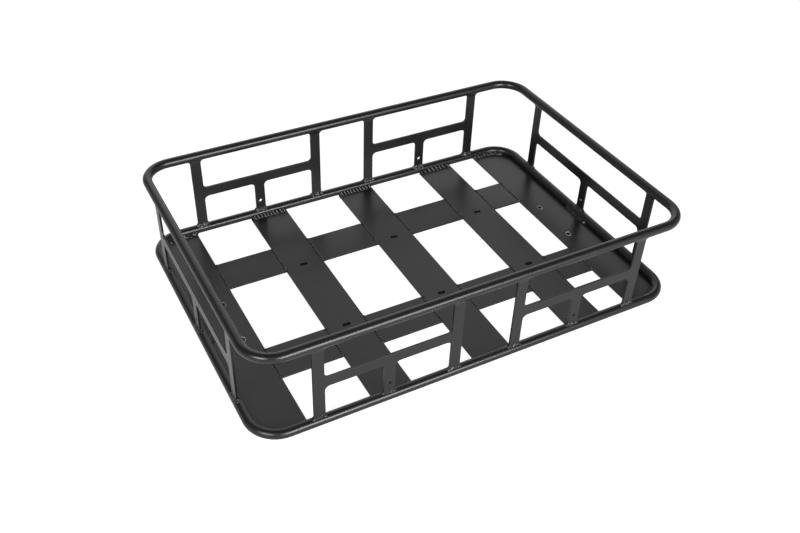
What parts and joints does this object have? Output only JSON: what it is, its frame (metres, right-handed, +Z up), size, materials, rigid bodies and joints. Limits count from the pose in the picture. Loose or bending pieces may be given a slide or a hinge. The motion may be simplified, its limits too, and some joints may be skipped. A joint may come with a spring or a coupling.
{
  "type": "roof basket",
  "caption": "Low open rectangular cargo basket of welded black steel: round tube rails, cut lattice side panels and a slotted flat-bar floor that bolts to a roof rack or carrier.",
  "frame": {"origin": "under the middle of the basket, on the plane that it stands on", "axes": "+X along the long side to the right, +Y from front to rear, +Z up"},
  "size_m": [0.66, 0.46, 0.145],
  "materials": {
    "black_powder_coat": "satin powder coat"
  },
  "bodies": {
    "root": {"top_rail": "black_powder_coat", "bottom_rail": "black_powder_coat", "front_left_panel": "black_powder_coat", "front_right_panel": "black_powder_coat", "rear_left_panel": "black_powder_coat", "rear_right_panel": "black_powder_coat", "left_panel": "black_powder_coat", "right_panel": "black_powder_coat", "left_end_plate": "black_powder_coat", "right_end_plate": "black_powder_coat", "left_slat": "black_powder_coat", "middle_slat": "black_powder_coat", "right_slat": "black_powder_coat", "front_strip_left": "black_powder_coat", "front_strip_mid_left": "black_powder_coat", "front_strip_mid_right": "black_powder_coat", "front_strip_right": "black_powder_coat", "rear_strip_left": "black_powder_coat", "rear_strip_mid_left": "black_powder_coat", "rear_strip_mid_right": "black_powder_coat", "rear_strip_right": "black_powder_coat"}
  },
  "joints": []
}
